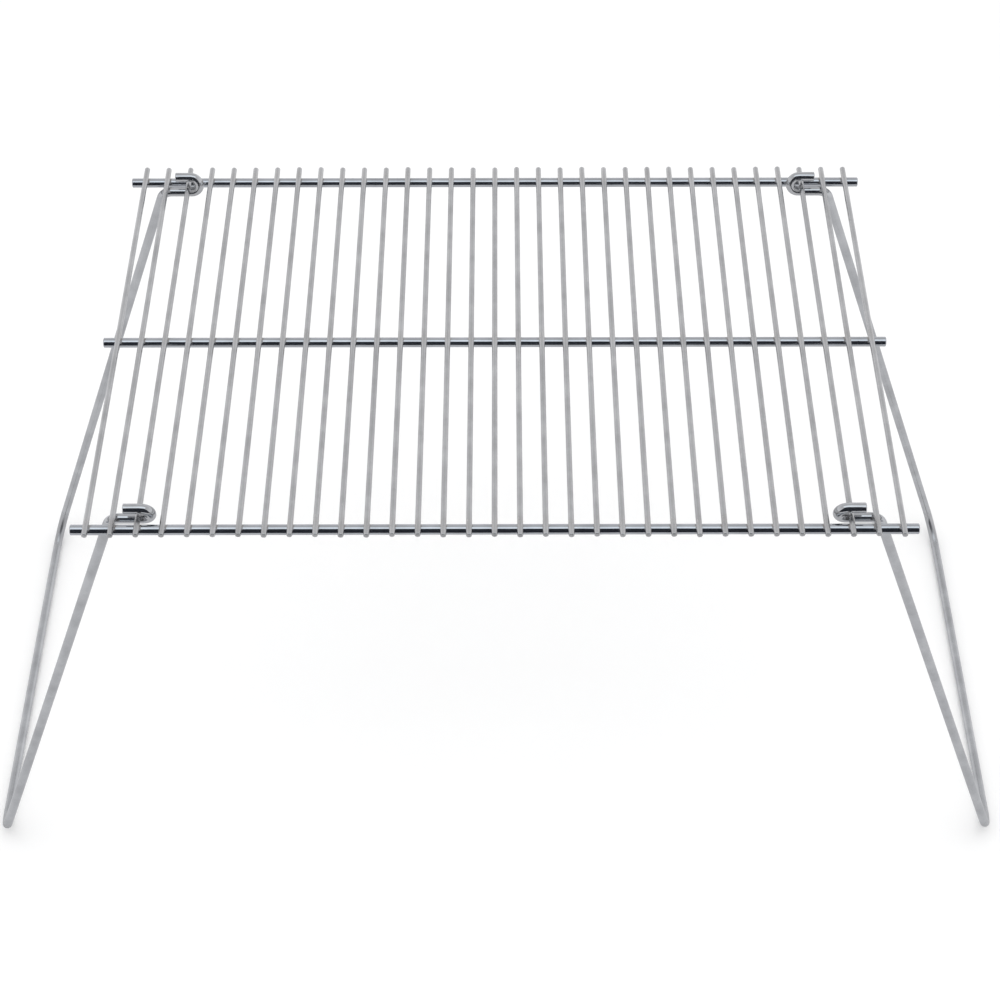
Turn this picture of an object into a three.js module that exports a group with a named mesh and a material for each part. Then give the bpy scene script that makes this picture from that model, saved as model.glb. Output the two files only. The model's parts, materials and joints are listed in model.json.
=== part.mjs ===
// Folding camp grill: a welded grate of straight wires on three cross rods, carried by
// two folding U legs whose hooks wrap round a grate wire just inside the outer rods.
// Millimetres, +X along the cross rods, +Y to the rear, +Z up, origin on the floor.
import * as THREE from "three";

// Cross rods: three equal rods along X under the grate.
const ROD_R = 3.15;
const ROD_LENGTH = 500;
const ROD_SPACING = 155;
const ROD_SIDES = 16;
const ROD_END_BEVEL = 0.5;

// Grill wires: straight wires along Y, welded on top of the rods.
const WIRE_R = 1.75;
const WIRE_LENGTH = 328;
const WIRE_PITCH = 15;
const WIRE_COUNT = 33;
const WIRE_SIDES = 12;
const WIRE_END_BEVEL = 0.5;

// Heights above the floor.
const ROD_AXIS_Z = 366;
const WIRE_AXIS_Z = ROD_AXIS_Z + ROD_R + WIRE_R;

// Legs: one bent wire each, hook - arm - upright - foot bar - upright - arm - hook.
const LEG_R = 3.1;
const LEG_SIDES = 18;
const LEG_SPLAY = THREE.MathUtils.degToRad(20);
const LEG_PLANE_Y = 146;
const FOOT_BAR_Z = LEG_R;
const FOOT_BEND_R = 24;
const FOOT_BEND_STEPS = 9;

// Hook hairpin round the third wire from the side; its top leans towards the cross rod.
const HOOK_WIRE_FROM_SIDE = 3;
const HOOK_WIRE_X = ((WIRE_COUNT + 1) / 2 - HOOK_WIRE_FROM_SIDE) * WIRE_PITCH;
const HOOK_LEAN = THREE.MathUtils.degToRad(10);
const HOOK_BEND_R = 5.7;
const HOOK_BEND_X = HOOK_WIRE_X - 1.7;
const HOOK_BEND_STEPS = 12;
const HOOK_FREE_END_X = HOOK_WIRE_X + 8.2;
const ARM_Z = ROD_AXIS_Z - 0.3;
const RETURN_ARM_Z = ARM_Z + 2 * HOOK_BEND_R * Math.cos(HOOK_LEAN);
const RETURN_ARM_Y = LEG_PLANE_Y + 2 * HOOK_BEND_R * Math.sin(HOOK_LEAN);
const ARM_CORNER_X = 228;
const ARM_BEND_R = 8;
const ARM_BEND_STEPS = 7;

const ROD_STEEL = { color: 0xc4c6c9, roughness: 0.2, metalness: 1 };
const WIRE_STEEL = { color: 0xb4b6b8, roughness: 0.34, metalness: 1 };
const LEG_STEEL = { color: 0xbcbec1, roughness: 0.26, metalness: 1 };

const grill = new THREE.Group();
grill.name = "folding_camp_grill";

function addPart(name, geometry, finish) {
  const mesh = new THREE.Mesh(geometry, new THREE.MeshStandardMaterial(finish));
  mesh.name = name;
  grill.add(mesh);
  return mesh;
}

// Radius of the corners of a regular polygon whose flats lie at the given radius.
function cornerRadius(flatRadius, sides) {
  return flatRadius / Math.cos(Math.PI / sides);
}

// Straight rod along local Y with bevelled ends and a flat facing each way across it.
function straightRod(radius, length, sides, bevel) {
  const r = cornerRadius(radius, sides);
  const profile = [
    new THREE.Vector2(0, -length / 2),
    new THREE.Vector2(r - bevel, -length / 2),
    new THREE.Vector2(r, -length / 2 + bevel),
    new THREE.Vector2(r, length / 2 - bevel),
    new THREE.Vector2(r - bevel, length / 2),
    new THREE.Vector2(0, length / 2),
  ];
  return new THREE.LatheGeometry(profile, sides, Math.PI / sides);
}

function addCrossRods() {
  const rows = { front: -ROD_SPACING, middle: 0, rear: ROD_SPACING };
  for (const [place, y] of Object.entries(rows)) {
    const geometry = straightRod(ROD_R, ROD_LENGTH, ROD_SIDES, ROD_END_BEVEL);
    const rod = addPart(`${place}_cross_rod`, geometry, ROD_STEEL);
    rod.rotation.z = -Math.PI / 2;
    rod.position.set(0, y, ROD_AXIS_Z);
  }
}

function addGrillWires() {
  for (let i = 0; i < WIRE_COUNT; i++) {
    const name = `grill_wire_${String(i + 1).padStart(2, "0")}`;
    const geometry = straightRod(WIRE_R, WIRE_LENGTH, WIRE_SIDES, WIRE_END_BEVEL);
    const wire = addPart(name, geometry, WIRE_STEEL);
    wire.position.set((i - (WIRE_COUNT - 1) / 2) * WIRE_PITCH, 0, WIRE_AXIS_Z);
  }
}

// A wire bent through straight runs and round bends, with one section at the ends of
// each straight and evenly spaced sections round each bend.
class BentWire extends THREE.Curve {
  constructor() {
    super();
    this.stations = [];
  }

  add(point, tangent) {
    this.stations.push({ point: point.clone(), tangent: tangent.clone().normalize() });
  }

  // Round bend of a given turn that starts at a point and turns towards inward.
  addArc(start, before, inward, radius, turn, steps) {
    for (let k = 0; k <= steps; k++) {
      const a = (turn * k) / steps;
      const point = start.clone()
        .addScaledVector(before, radius * Math.sin(a))
        .addScaledVector(inward, radius * (1 - Math.cos(a)));
      const tangent = before.clone().multiplyScalar(Math.cos(a));
      this.add(point, tangent.addScaledVector(inward, Math.sin(a)));
    }
  }

  // Bend that rounds the corner between two straight runs.
  addCorner(corner, before, after, radius, steps) {
    const turn = before.angleTo(after);
    const inward = after.clone().addScaledVector(before, -before.dot(after)).normalize();
    const start = corner.clone().addScaledVector(before, -radius * Math.tan(turn / 2));
    this.addArc(start, before, inward, radius, turn, steps);
  }

  get steps() {
    return this.stations.length - 1;
  }

  getPointAt(u) {
    return this.stations[Math.round(u * this.steps)].point.clone();
  }

  getTangentAt(u) {
    return this.stations[Math.round(u * this.steps)].tangent.clone();
  }
}

// Half of a leg's run, from the free end of its hook to the middle of the foot bar.
function halfLegRun(side) {
  const inwardX = new THREE.Vector3(-side, 0, 0);
  const outwardX = new THREE.Vector3(side, 0, 0);
  const downHairpin = new THREE.Vector3(0, Math.sin(HOOK_LEAN), -Math.cos(HOOK_LEAN));
  const splayed = new THREE.Vector3(
    side * Math.sin(LEG_SPLAY), 0, -Math.cos(LEG_SPLAY),
  );
  const rearward = new THREE.Vector3(0, 1, 0);
  const footX = ARM_CORNER_X + (ARM_Z - FOOT_BAR_Z) * Math.tan(LEG_SPLAY);
  const run = new BentWire();
  run.add(new THREE.Vector3(side * HOOK_FREE_END_X, -RETURN_ARM_Y, RETURN_ARM_Z), inwardX);
  run.addArc(
    new THREE.Vector3(side * HOOK_BEND_X, -RETURN_ARM_Y, RETURN_ARM_Z),
    inwardX, downHairpin, HOOK_BEND_R, Math.PI, HOOK_BEND_STEPS,
  );
  run.addCorner(
    new THREE.Vector3(side * ARM_CORNER_X, -LEG_PLANE_Y, ARM_Z),
    outwardX, splayed, ARM_BEND_R, ARM_BEND_STEPS,
  );
  run.addCorner(
    new THREE.Vector3(side * footX, -LEG_PLANE_Y, FOOT_BAR_Z),
    splayed, rearward, FOOT_BEND_R, FOOT_BEND_STEPS,
  );
  return run;
}

// Whole leg: the front half, then its mirror image rearwards.
function legRun(side) {
  const run = halfLegRun(side);
  const front = [...run.stations].reverse();
  for (const { point, tangent } of front) {
    run.add(
      new THREE.Vector3(point.x, -point.y, point.z),
      new THREE.Vector3(-tangent.x, tangent.y, -tangent.z),
    );
  }
  return run;
}

function addLeg(name, side) {
  const r = cornerRadius(LEG_R, LEG_SIDES);
  const section = new THREE.Shape(
    Array.from({ length: LEG_SIDES }, (_, k) => {
      const a = (2 * Math.PI * k) / LEG_SIDES;
      return new THREE.Vector2(r * Math.cos(a), r * Math.sin(a));
    }),
  );
  const run = legRun(side);
  const geometry = new THREE.ExtrudeGeometry(section, {
    steps: run.steps,
    extrudePath: run,
  });
  addPart(name, geometry, LEG_STEEL);
}

addCrossRods();
addGrillWires();
addLeg("left_leg", -1);
addLeg("right_leg", 1);

export default grill;
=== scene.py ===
"""Folding camp grill: smooth rods, wires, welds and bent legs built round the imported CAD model."""

import json
import math
import random
from collections import namedtuple

import bpy
from mathutils import Matrix, Vector, noise


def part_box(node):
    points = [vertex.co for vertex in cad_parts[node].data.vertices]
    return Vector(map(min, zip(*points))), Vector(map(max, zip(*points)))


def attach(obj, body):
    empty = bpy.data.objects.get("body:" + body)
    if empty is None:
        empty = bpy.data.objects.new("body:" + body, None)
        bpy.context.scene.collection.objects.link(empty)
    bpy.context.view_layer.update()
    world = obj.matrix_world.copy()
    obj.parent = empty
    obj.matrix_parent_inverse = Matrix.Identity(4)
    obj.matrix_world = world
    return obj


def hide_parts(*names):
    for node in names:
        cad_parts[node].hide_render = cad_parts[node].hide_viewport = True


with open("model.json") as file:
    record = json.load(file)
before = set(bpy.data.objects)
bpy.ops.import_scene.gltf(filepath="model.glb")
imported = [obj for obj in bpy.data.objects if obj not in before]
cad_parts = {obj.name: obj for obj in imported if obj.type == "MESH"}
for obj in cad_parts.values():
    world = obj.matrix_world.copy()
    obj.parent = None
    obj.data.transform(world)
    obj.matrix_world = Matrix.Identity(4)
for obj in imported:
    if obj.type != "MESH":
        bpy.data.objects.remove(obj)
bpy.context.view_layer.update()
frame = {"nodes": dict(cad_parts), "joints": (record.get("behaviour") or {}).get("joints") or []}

MM = 0.001
SEED = 41

# Places taken from the frame.
ROD_NAMES = ("front_cross_rod", "middle_cross_rod", "rear_cross_rod")
WIRE_NAMES = sorted(n for n in frame["nodes"] if n.startswith("grill_wire_"))
ROD_LOW, ROD_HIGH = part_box("front_cross_rod")
WIRE_LOW, WIRE_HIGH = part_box(WIRE_NAMES[0])
ROD_AXIS_Z = (ROD_LOW.z + ROD_HIGH.z) / 2
ROD_Y = {n: (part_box(n)[0].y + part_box(n)[1].y) / 2 for n in ROD_NAMES}
WIRE_X = {n: (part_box(n)[0].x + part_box(n)[1].x) / 2 for n in WIRE_NAMES}
HINGE_X = abs(frame["joints"][0]["pos_m"][0])

# Sections: radii, and how many sides each mesh has.
ROD_R = (ROD_HIGH.z - ROD_LOW.z) / 2
WIRE_R = (WIRE_HIGH.z - WIRE_LOW.z) / 2
LEG_R = 3.1 * MM
ROD_SIDES = 40
WIRE_SIDES = 28
LEG_SIDES = 40

# The legs' bent run, measured at the wire's axis.
LEG_SPLAY = math.radians(20)
LEG_PLANE_Y = ROD_Y["rear_cross_rod"] - 9 * MM
ARM_Z = ROD_AXIS_Z - 0.3 * MM
ARM_CORNER_X = 228 * MM
ARM_BEND_R = 8 * MM
FOOT_BEND_R = 24 * MM
HOOK_LEAN = math.radians(10)
HOOK_BEND_R = 5.7 * MM
HOOK_BEND_X = HINGE_X - 1.7 * MM
HOOK_FREE_END_X = HINGE_X + 8.2 * MM

# How far apart the sections are, round bends and along straight runs.
BEND_STEP = math.radians(5)
FEWEST_BEND_STEPS = 4
LEG_STEP = 12 * MM
ROD_STEP = 1.25 * MM
WIRE_STEP = 2 * MM

# How much a bend flattens the wire, and how worn the bends at the hooks and at the feet are.
BEND_OVAL = 0.02
BEND_SCUFF = 0.1
FOOT_SCUFF = 1.0

# Cut ends, from the rim inwards: (millimetres in from the end, share of the radius).
SHEARED_END = ((0.55, 1.0), (0.3, 0.985), (0.13, 0.945), (0.03, 0.87), (0.0, 0.76), (0.0, 0.4))
TRIMMED_END = ((0.6, 1.0), (0.34, 0.98), (0.14, 0.93), (0.03, 0.85), (0.0, 0.76), (0.0, 0.4))
CUT_FACE_SHARE = 0.8

# How unevenly the wires are trimmed, in millimetres at most.
WIRE_END_SPREAD = 0.7

# Heat marks of the welds: how far they reach along the metal, and how strong they are.
ROD_HEAT_REACH = 3.2 * MM
ROD_HEAT_ALL_ROUND = 0.25
ROD_HEAT_ON_TOP = 0.75
WIRE_HEAT_REACH = 7 * MM
WIRE_HEAT_AT_SIDES = 0.8
WIRE_HEAT_LOSS_ON_TOP = 0.35

# Weld beads: half sizes of the cushion, its swelling along wire and rod, and its lumps.
WELD_RINGS = 12
WELD_SIDES = 24
WELD_HALF = (2.15 * MM, 1.95 * MM, 0.85 * MM)
WELD_SINK = 0.25 * MM
WELD_WAIST = 0.86
WELD_SWELL = 0.2
WELD_LUMP = 0.16
WELD_LUMP_SCALE = 1.9
WELD_LUMP_SHIFT = 50
WELD_WEAR_SCALE = 900

# The steel's noises: (scale, detail). The drawn lines are long along the run and fine round it.
DRAWN_LINES = (1.0, 3.0)
DRAWN_LINES_STRETCH = (40.0, 7.3, 7.3)
MOTTLE = (95.0, 5.0)
CLOUD = (60.0, 4.0)
PITS = (2100.0, 2.0)
WAVES = (42.0, 1.0)

# How far the pattern is shifted from piece to piece, in metres at most.
PATTERN_SHIFT = 5.0

# The part of a noise's range that is spread over its effect, wide and narrow.
WIDE = (0.3, 0.7)
NARROW = (0.35, 0.65)

# What the noises change: polish and colour as shares of the plain value, then wear and relief.
POLISH_SHARES = (0.8, 1.25)
COLOUR_SHARES = (0.86, 1.1)
WEAR_SHARES = (0.55, 1.0)
WEAR_TINT = 0.6
CUT_FACE_ROUGHNESS = 0.34
CUT_FACE_RELIEF = 4.0
PIT_RELIEF = 0.5
WAVE_RELIEF = 2.5
RELIEF_STRENGTH = 0.35
RELIEF_DISTANCE = 0.00004

# The studio: a pale floor, a black card in front of the grill and a softbox above it.
FLOOR_SIZE = (60.0, 60.0)
FLOOR_COLOUR = (0.97, 0.97, 0.97, 1)
CARD_SIZE = (1.7, 2.37)
CARD_PLACE = (0, -1.1, 1.065)
CARD_COLOUR = (0.009, 0.012, 0.02, 1)
CARD_ROUGHNESS = 0.9
SOFTBOX_SIZE = (2.4, 1.3)
SOFTBOX_PLACE = (0, -0.4, 2.3)
SOFTBOX_POWER = 10
DIFFUSER_COLOUR = (0.87, 0.935, 1.0, 1)
DIFFUSER_STRENGTH = 1.2

# The room in the steel's reflections: (height from straight down to straight up, grey).
ROOM_WALLS = ((0.0, 0.62), (0.3, 0.68), (0.5, 0.8), (0.66, 0.72), (0.82, 0.6), (1.0, 0.58))
ROOM_TINT = (0.98, 0.99, 1.02)

# The camera: lens and sensor in millimetres, place in metres.
CAMERA_LENS = 71.34
CAMERA_SENSOR = 36
CAMERA_PLACE = Vector((3.2, -896.8, 1267.1)) * MM
CAMERA_PITCH = math.radians(49.69)
CAMERA_ROLL = math.radians(-0.085)


# ---------------------------------------------------------------- swept wires


class Station:
    """One place on a wire's run: its point, its direction, and how bent and scuffed it is there."""

    def __init__(self, point, tangent, bend=0.0, scuff=0.0):
        self.point = Vector(point)
        self.tangent = Vector(tangent).normalized()
        self.bend = bend
        self.scuff = scuff


# A station's section: across is a direction in it, share is the share of the full radius, and
# along is how far it is from the wire's start.
Ring = namedtuple("Ring", "point tangent across share along bend scuff")


def straight(start, end, step):
    """Stations along a straight run, both ends left out."""
    run = end - start
    count = max(1, int(run.length / step))
    return [Station(start + run * (k / count), run) for k in range(1, count)]


def straight_wire(start, end, step):
    """Stations along a straight run, both ends included."""
    run = end - start
    return [Station(start, run), *straight(start, end, step), Station(end, run)]


def arc(start, before, inward, radius, turn, scuff=BEND_SCUFF):
    """Stations round a bend: it starts running along before and turns towards inward."""
    count = max(FEWEST_BEND_STEPS, round(turn / BEND_STEP))
    stations = []
    for k in range(count + 1):
        a = turn * k / count
        point = start + before * (radius * math.sin(a)) + inward * (radius * (1 - math.cos(a)))
        tangent = before * math.cos(a) + inward * math.sin(a)
        bend = max(0.0, math.sin(math.pi * k / count))
        stations.append(Station(point, tangent, BEND_OVAL * bend, scuff * math.sqrt(bend)))
    return stations


def corner(place, before, after, radius, scuff=BEND_SCUFF):
    """Stations round the corner between two straight runs."""
    turn = before.angle(after)
    inward = (after - before * before.dot(after)).normalized()
    start = place - before * (radius * math.tan(turn / 2))
    return arc(start, before, inward, radius, turn, scuff)


def joined(*runs):
    """Runs one after the other, with straight stations filled in between them."""
    stations = list(runs[0])
    for run in runs[1:]:
        stations += straight(stations[-1].point, run[0].point, LEG_STEP)
        stations += run
    return stations


def shaped_end(ring, inward, end_shape):
    """The rings of one cut end, from the full section out to the cut face."""
    rings = []
    for inset, share in end_shape:
        step = inward * inset * MM
        point = ring.point + ring.tangent * step
        rings.append(ring._replace(point=point, share=share, along=ring.along + step))
    return rings


def rings_along(stations, end_shape):
    """The rings of a swept wire: one at each station, the first and the last as cut ends."""
    rings = []
    before = stations[0]
    along = 0.0
    across = before.tangent.orthogonal().normalized()
    for here in stations:
        along += (here.point - before.point).length
        across = before.tangent.rotation_difference(here.tangent) @ across
        rings.append(Ring(here.point, here.tangent, across, 1.0, along, here.bend, here.scuff))
        before = here
    head = shaped_end(rings[0], 1, end_shape)
    tail = shaped_end(rings[-1], -1, end_shape)
    return [*reversed(head), *rings[1:-1], *tail]


def tube_faces(ring_count, sides):
    """Faces between the rings of a tube, with a fan round a centre point on each end."""
    faces = []
    for j in range(ring_count - 1):
        here, after = j * sides, (j + 1) * sides
        for k in range(sides):
            n = (k + 1) % sides
            faces.append((here + k, here + n, after + n, after + k))
    head_tip = ring_count * sides
    tail_tip, tail = head_tip + 1, head_tip - sides
    faces += [(head_tip, (k + 1) % sides, k) for k in range(sides)]
    faces += [(tail_tip, tail + k, tail + (k + 1) % sides) for k in range(sides)]
    return faces


def sweep(name, stations, radius, sides, end_shape, wear=None):
    """A closed smooth wire along the stations, worn as wear says of a place, or as scuffed."""
    rings = rings_along(stations, end_shape)
    vertices, runs, wears, cuts = [], [], [], []
    for ring in rings:
        other = ring.tangent.cross(ring.across)
        for k in range(sides):
            a = 2 * math.pi * k / sides
            r = radius * ring.share * (1 + ring.bend * abs(math.sin(a)))
            place = ring.point + ring.across * (r * math.cos(a)) + other * (r * math.sin(a))
            vertices.append(place)
            runs.append((ring.along, math.cos(a), math.sin(a)))
            wears.append(wear(place) if wear else ring.scuff)
            cuts.append(1.0 if ring.share < CUT_FACE_SHARE else 0.0)
    for ring in (rings[0], rings[-1]):
        vertices.append(ring.point)
        runs.append((ring.along, 0.0, 0.0))
        wears.append(wear(ring.point) if wear else 0.0)
        cuts.append(1.0)
    return mesh_object(name, vertices, tube_faces(len(rings), sides), runs, wears, cuts)


def mesh_object(name, vertices, faces, runs, wears, cuts):
    """A smooth-shaded mesh object with four point attributes for its steel.

    run is metres along the wire and the place round it, skin is the place in a pattern that
    differs from piece to piece, wear is 0 to 1, and cut is 1 on a sheared face.
    """
    mesh = bpy.data.meshes.new(name)
    mesh.from_pydata(vertices, [], faces)
    mesh.validate()
    for polygon in mesh.polygons:
        polygon.use_smooth = True
    chance = random.Random(name)
    shift = Vector([chance.uniform(0, PATTERN_SHIFT) for _ in range(3)])
    skins = [vertex + shift for vertex in vertices]
    for title, vectors in (("run", runs), ("skin", skins)):
        attribute = mesh.attributes.new(title, "FLOAT_VECTOR", "POINT")
        attribute.data.foreach_set("vector", [number for vector in vectors for number in vector])
    for title, values in (("wear", wears), ("cut", cuts)):
        attribute = mesh.attributes.new(title, "FLOAT", "POINT")
        attribute.data.foreach_set("value", values)
    piece = bpy.data.objects.new(name, mesh)
    bpy.context.scene.collection.objects.link(piece)
    return piece


# ---------------------------------------------------------------- materials


class Nodes:
    """A node tree being built. Most methods add a node and return its output."""

    def __init__(self, tree):
        self.tree = tree

    def add(self, kind):
        return self.tree.nodes.new(kind)

    def feed(self, socket, value):
        """Links an output to a socket, or sets the socket to a number, vector or colour."""
        if isinstance(value, bpy.types.NodeSocket):
            self.tree.links.new(value, socket)
        else:
            socket.default_value = value

    def attribute(self, title, output):
        node = self.add("ShaderNodeAttribute")
        node.attribute_name = title
        return node.outputs[output]

    def stretch(self, vector, scale):
        node = self.add("ShaderNodeMapping")
        self.feed(node.inputs["Vector"], vector)
        self.feed(node.inputs["Scale"], scale)
        return node.outputs["Vector"]

    def noise(self, vector, scale, detail):
        node = self.add("ShaderNodeTexNoise")
        self.feed(node.inputs["Vector"], vector)
        self.feed(node.inputs["Scale"], scale)
        self.feed(node.inputs["Detail"], detail)
        return node.outputs["Fac"]

    def remap(self, value, source, target):
        node = self.add("ShaderNodeMapRange")
        self.feed(node.inputs["Value"], value)
        self.feed(node.inputs["From Min"], source[0])
        self.feed(node.inputs["From Max"], source[1])
        self.feed(node.inputs["To Min"], target[0])
        self.feed(node.inputs["To Max"], target[1])
        return node.outputs["Result"]

    def combine(self, operation, a, b):
        node = self.add("ShaderNodeMath")
        node.operation = operation
        self.feed(node.inputs[0], a)
        self.feed(node.inputs[1], b)
        return node.outputs["Value"]

    def product(self, a, b):
        return self.combine("MULTIPLY", a, b)

    def total(self, first, *others):
        for other in others:
            first = self.combine("ADD", first, other)
        return first

    def mix(self, factor, a, b):
        node = self.add("ShaderNodeMix")
        node.data_type = "RGBA"
        self.feed(node.inputs["Factor"], factor)
        self.feed(node.inputs["A"], a)
        self.feed(node.inputs["B"], b)
        return node.outputs["Result"]


def new_material(name):
    """A new material, its node tree, and the inputs of its shader."""
    material = bpy.data.materials.new(name)
    material.use_nodes = True
    shader = material.node_tree.nodes["Principled BSDF"]
    return material, Nodes(material.node_tree), shader.inputs


def plated_steel(name, colour, warm, roughness, grain, wear_roughness):
    """Bright plated steel: drawn lines along the run, mottled polish, fine pits, duller wear."""
    material, nodes, inputs = new_material(name)
    skin = nodes.attribute("skin", "Vector")
    run = nodes.attribute("run", "Vector")
    sheared = nodes.attribute("cut", "Fac")
    wear = nodes.attribute("wear", "Fac")
    drawn_lines = nodes.noise(nodes.stretch(run, DRAWN_LINES_STRETCH), *DRAWN_LINES)
    mottle = nodes.noise(skin, *MOTTLE)
    cloud = nodes.noise(skin, *CLOUD)
    pits = nodes.noise(skin, *PITS)
    waves = nodes.noise(skin, *WAVES)
    worn = nodes.product(wear, nodes.remap(mottle, WIDE, WEAR_SHARES))

    polish = nodes.remap(mottle, WIDE, [roughness * share for share in POLISH_SHARES])
    streaks = nodes.remap(drawn_lines, NARROW, (-grain, grain))
    dull = nodes.product(worn, wear_roughness)
    rough_cut = nodes.product(sheared, CUT_FACE_ROUGHNESS)
    nodes.feed(inputs["Roughness"], nodes.total(polish, streaks, dull, rough_cut))

    dark, light = [(*[c * share for c in colour], 1) for share in COLOUR_SHARES]
    tone = nodes.mix(nodes.remap(cloud, WIDE, (0.0, 1.0)), dark, light)
    tinted = nodes.mix(nodes.product(worn, WEAR_TINT), tone, (*warm, 1))
    nodes.feed(inputs["Base Color"], tinted)
    nodes.feed(inputs["Metallic"], 1.0)

    fine = nodes.total(drawn_lines, nodes.product(pits, PIT_RELIEF))
    torn_cut = nodes.product(nodes.product(pits, sheared), CUT_FACE_RELIEF)
    broad = nodes.total(nodes.product(waves, WAVE_RELIEF), torn_cut)
    relief = nodes.add("ShaderNodeBump")
    nodes.feed(relief.inputs["Strength"], RELIEF_STRENGTH)
    nodes.feed(relief.inputs["Distance"], RELIEF_DISTANCE)
    nodes.feed(relief.inputs["Height"], nodes.total(fine, broad))
    nodes.feed(inputs["Normal"], relief.outputs["Normal"])
    return material


def plain_material(name, settings):
    """A material that is the same all over, from the values of its shader's sockets."""
    material, nodes, inputs = new_material(name)
    for title, value in settings.items():
        nodes.feed(inputs[title], value)
    return material


ROD_STEEL = plated_steel(
    "cross_rod_steel",
    colour=(0.6, 0.615, 0.64),
    warm=(0.5, 0.47, 0.44),
    roughness=0.09,
    grain=0.02,
    wear_roughness=0.12,
)
WIRE_STEEL = plated_steel(
    "grill_wire_steel",
    colour=(0.685, 0.682, 0.682),
    warm=(0.53, 0.49, 0.45),
    roughness=0.19,
    grain=0.04,
    wear_roughness=0.12,
)
LEG_STEEL = plated_steel(
    "leg_wire_steel",
    colour=(0.64, 0.645, 0.655),
    warm=(0.5, 0.5, 0.5),
    roughness=0.1,
    grain=0.025,
    wear_roughness=0.42,
)
WELD_STEEL = plated_steel(
    "weld_steel",
    colour=(0.47, 0.45, 0.43),
    warm=(0.33, 0.27, 0.22),
    roughness=0.3,
    grain=0.03,
    wear_roughness=0.12,
)


# ---------------------------------------------------------------- pieces


def finish_piece(piece, material, body, slot, *cad_nodes):
    """Paints a piece, puts it on its CAD body and hides the CAD nodes it stands for; slot is not
    used.
    """
    piece.data.materials.append(material)
    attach(piece, body)
    if cad_nodes:
        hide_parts(*cad_nodes)


def add_cross_rods():
    """The three rods, marked by the welds' heat under each wire."""
    for name in ROD_NAMES:
        low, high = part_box(name)
        y, z = (low.y + high.y) / 2, (low.z + high.z) / 2

        def near_weld(place):
            gap = min(abs(place.x - x) for x in WIRE_X.values())
            upper = max(0.0, (place.z - z) / ROD_R)
            heat = ROD_HEAT_ALL_ROUND + ROD_HEAT_ON_TOP * upper
            return max(0.0, 1 - gap / ROD_HEAT_REACH) * heat

        stations = straight_wire(Vector((low.x, y, z)), Vector((high.x, y, z)), ROD_STEP)
        rod = sweep(name + "_round", stations, ROD_R, ROD_SIDES, SHEARED_END, wear=near_weld)
        finish_piece(rod, ROD_STEEL, "grate", "cross_rod_steel", name)


def add_grill_wires():
    """The wires, trimmed a little unevenly and marked by the welds' heat over each rod."""
    chance = random.Random(SEED)
    for name in WIRE_NAMES:
        low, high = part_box(name)
        x, z = WIRE_X[name], (low.z + high.z) / 2
        start = Vector((x, low.y + chance.uniform(0, WIRE_END_SPREAD) * MM, z))
        end = Vector((x, high.y - chance.uniform(0, WIRE_END_SPREAD) * MM, z))

        def near_weld(place):
            gap = min(abs(place.y - y) for y in ROD_Y.values())
            heat = WIRE_HEAT_AT_SIDES - WIRE_HEAT_LOSS_ON_TOP * (place.z - z) / WIRE_R
            return max(0.0, 1 - gap / WIRE_HEAT_REACH) * heat

        stations = straight_wire(start, end, WIRE_STEP)
        wire = sweep(name + "_round", stations, WIRE_R, WIRE_SIDES, TRIMMED_END, wear=near_weld)
        finish_piece(wire, WIRE_STEEL, "grate", "grill_wire_steel", name)


def weld_bead(centre, chance):
    """Vertices and faces of one squeezed-out weld: a lumpy cushion, swollen along wire and rod."""
    offset = Vector([chance.uniform(0, WELD_LUMP_SHIFT) for _ in range(3)])
    vertices = []
    for j in range(1, WELD_RINGS):
        polar = math.pi * j / WELD_RINGS
        for k in range(WELD_SIDES):
            a = 2 * math.pi * k / WELD_SIDES
            width = math.sin(polar)
            unit = Vector((width * math.cos(a), width * math.sin(a), math.cos(polar)))
            swell = WELD_WAIST + WELD_SWELL * math.cos(2 * a) ** 2
            lump = 1 + WELD_LUMP * noise.noise(unit * WELD_LUMP_SCALE + offset)
            x = unit.x * WELD_HALF[0] * swell * lump
            y = unit.y * WELD_HALF[1] * swell * lump
            z = unit.z * WELD_HALF[2] * lump
            vertices.append(centre + Vector((x, y, z)))
    top = len(vertices)
    bottom = top + 1
    vertices.append(centre + Vector((0, 0, WELD_HALF[2])))
    vertices.append(centre - Vector((0, 0, WELD_HALF[2])))
    faces = []
    for j in range(WELD_RINGS - 2):
        upper, lower = j * WELD_SIDES, (j + 1) * WELD_SIDES
        for k in range(WELD_SIDES):
            n = (k + 1) % WELD_SIDES
            faces.append((upper + k, lower + k, lower + n, upper + n))
    last = top - WELD_SIDES
    for k in range(WELD_SIDES):
        n = (k + 1) % WELD_SIDES
        faces.append((top, k, n))
        faces.append((bottom, last + n, last + k))
    return vertices, faces


def add_welds():
    """A row of weld beads along each rod, one under each wire."""
    chance = random.Random(SEED + 1)
    for rod in ROD_NAMES:
        vertices, faces = [], []
        for wire in WIRE_NAMES:
            contact = Vector((WIRE_X[wire], ROD_Y[rod], ROD_AXIS_Z + ROD_R - WELD_SINK))
            bead, bead_faces = weld_bead(contact, chance)
            faces += [tuple(i + len(vertices) for i in face) for face in bead_faces]
            vertices += bead
        runs = [(v.x, v.y / WIRE_R, v.z / WIRE_R) for v in vertices]
        wears = [(1 + noise.noise(v * WELD_WEAR_SCALE)) / 2 for v in vertices]
        cuts = [0.0] * len(vertices)
        welds = mesh_object(rod.replace("cross_rod", "welds"), vertices, faces, runs, wears, cuts)
        finish_piece(welds, WELD_STEEL, "grate", "grill_wire_steel")


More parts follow.
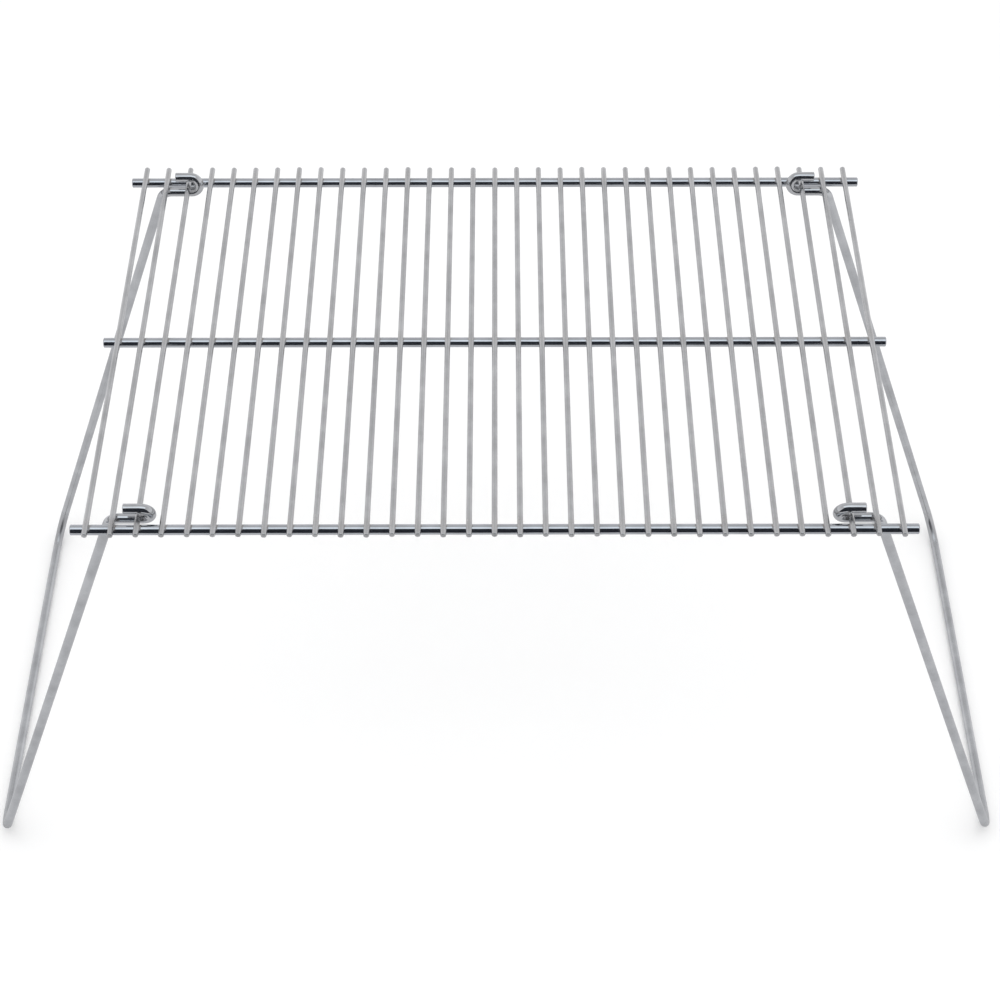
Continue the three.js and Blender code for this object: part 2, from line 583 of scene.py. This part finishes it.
def leg_stations(side):
    """A leg's whole run, from the free end of its front hook to the free end of its rear hook."""
    inward, outward = Vector((-side, 0, 0)), Vector((side, 0, 0))
    down_hairpin = Vector((0, math.sin(HOOK_LEAN), -math.cos(HOOK_LEAN)))
    rearward = Vector((0, 1, 0))
    splayed = Vector((side * math.sin(LEG_SPLAY), 0, -math.cos(LEG_SPLAY)))
    foot_x = ARM_CORNER_X + (ARM_Z - LEG_R) * math.tan(LEG_SPLAY)
    return_y = -LEG_PLANE_Y - 2 * HOOK_BEND_R * math.sin(HOOK_LEAN)
    return_z = ARM_Z + 2 * HOOK_BEND_R * math.cos(HOOK_LEAN)
    hairpin_start = Vector((side * HOOK_BEND_X, return_y, return_z))
    arm_corner = Vector((side * ARM_CORNER_X, -LEG_PLANE_Y, ARM_Z))
    foot_corner = Vector((side * foot_x, -LEG_PLANE_Y, LEG_R))
    front = joined(
        [Station((side * HOOK_FREE_END_X, return_y, return_z), inward)],
        arc(hairpin_start, inward, down_hairpin, HOOK_BEND_R, math.pi),
        corner(arm_corner, outward, splayed, ARM_BEND_R),
        corner(foot_corner, splayed, rearward, FOOT_BEND_R, FOOT_SCUFF),
    )
    rear = []
    for s in reversed(front):
        point = (s.point.x, -s.point.y, s.point.z)
        tangent = (-s.tangent.x, s.tangent.y, -s.tangent.z)
        rear.append(Station(point, tangent, s.bend, s.scuff))
    return joined(front, rear)


def add_legs():
    """The two legs, each one bent wire with a hook at either end."""
    for name, side in (("left_leg", -1), ("right_leg", 1)):
        leg = sweep(name + "_round", leg_stations(side), LEG_R, LEG_SIDES, SHEARED_END)
        finish_piece(leg, LEG_STEEL, name, "leg_wire_steel", name)


# ---------------------------------------------------------------- studio


def panel(name, size, place, pitch, material):
    """A flat rectangle, staged so that it isn't part of the object."""
    x, y = size[0] / 2, size[1] / 2
    mesh = bpy.data.meshes.new(name)
    mesh.from_pydata([(-x, -y, 0), (x, -y, 0), (x, y, 0), (-x, y, 0)], [], [(0, 1, 2, 3)])
    mesh.materials.append(material)
    piece = bpy.data.objects.new(name, mesh)
    piece.location = place
    piece.rotation_euler = (pitch, 0, 0)
    bpy.context.scene.collection.objects.link(piece)
    return piece


def only_reflected(piece):
    """Leaves a studio card to be seen in the steel alone, not in the picture or on the floor."""
    piece.visible_camera = False
    piece.visible_diffuse = False
    piece.visible_shadow = False
    piece.visible_transmission = False


def add_stage():
    """The matt floor, and what the steel mirrors: the black card and the softbox's face."""
    paint = plain_material(
        "pale_floor",
        {"Base Color": FLOOR_COLOUR, "Roughness": 1.0, "Specular IOR Level": 0.0},
    )
    cloth = plain_material(
        "black_cloth",
        {"Base Color": CARD_COLOUR, "Roughness": CARD_ROUGHNESS},
    )
    diffuser = plain_material(
        "softbox_diffuser",
        {
            "Base Color": (0, 0, 0, 1),
            "Roughness": 1,
            "Emission Color": DIFFUSER_COLOUR,
            "Emission Strength": DIFFUSER_STRENGTH,
        },
    )
    floor = panel("floor", FLOOR_SIZE, (0, 0, 0), 0, paint)
    floor.visible_glossy = False
    only_reflected(panel("black_card", CARD_SIZE, CARD_PLACE, math.pi / 2, cloth))
    only_reflected(panel("softbox_face", SOFTBOX_SIZE, SOFTBOX_PLACE, 0, diffuser))


def add_world():
    """White for the picture and the floor's light; for the steel a grey room, palest half-way up."""
    world = bpy.data.worlds.new("studio")
    world.use_nodes = True
    world.node_tree.nodes.clear()
    nodes = Nodes(world.node_tree)
    split = nodes.add("ShaderNodeSeparateXYZ")
    nodes.feed(split.inputs["Vector"], nodes.add("ShaderNodeTexCoord").outputs["Generated"])
    ramp = nodes.add("ShaderNodeValToRGB")
    nodes.feed(ramp.inputs["Fac"], nodes.remap(split.outputs["Z"], (-1, 1), (0, 1)))
    stops = ramp.color_ramp.elements
    while len(stops) < len(ROOM_WALLS):
        stops.new(0.5)
    for stop, (position, grey) in zip(stops, ROOM_WALLS):
        stop.position = position
        stop.color = (*[grey * share for share in ROOM_TINT], 1)
    room = nodes.add("ShaderNodeBackground")
    nodes.feed(room.inputs["Color"], ramp.outputs["Color"])
    white = nodes.add("ShaderNodeBackground")
    nodes.feed(white.inputs["Color"], (1, 1, 1, 1))
    ray = nodes.add("ShaderNodeLightPath").outputs
    mix = nodes.add("ShaderNodeMixShader")
    sees_white = nodes.combine("MAXIMUM", ray["Is Camera Ray"], ray["Is Diffuse Ray"])
    nodes.feed(mix.inputs["Fac"], sees_white)
    nodes.feed(mix.inputs[1], room.outputs["Background"])
    nodes.feed(mix.inputs[2], white.outputs["Background"])
    out = nodes.add("ShaderNodeOutputWorld")
    nodes.feed(out.inputs["Surface"], mix.outputs["Shader"])
    bpy.context.scene.world = world


def add_softbox():
    """The softbox's light on the floor; the steel mirrors the softbox's face instead."""
    data = bpy.data.lights.new("top_softbox", "AREA")
    data.shape = "RECTANGLE"
    data.size, data.size_y = SOFTBOX_SIZE
    data.energy = SOFTBOX_POWER
    light = bpy.data.objects.new("top_softbox", data)
    light.location = SOFTBOX_PLACE
    light.visible_glossy = False
    bpy.context.scene.collection.objects.link(light)


def add_camera():
    """The camera, in front of the grill and above it."""
    data = bpy.data.cameras.new("camera")
    data.lens = CAMERA_LENS
    data.sensor_width = CAMERA_SENSOR
    camera = bpy.data.objects.new("camera", data)
    pitch = Matrix.Rotation(math.pi / 2 - CAMERA_PITCH, 4, "X")
    roll = Matrix.Rotation(CAMERA_ROLL, 4, "Z")
    camera.matrix_world = Matrix.Translation(CAMERA_PLACE) @ pitch @ roll
    bpy.context.scene.collection.objects.link(camera)
    bpy.context.scene.camera = camera


add_cross_rods()
add_grill_wires()
add_welds()
add_legs()
add_stage()
add_world()
add_softbox()
add_camera()
bpy.context.scene.view_settings.view_transform = "Standard"
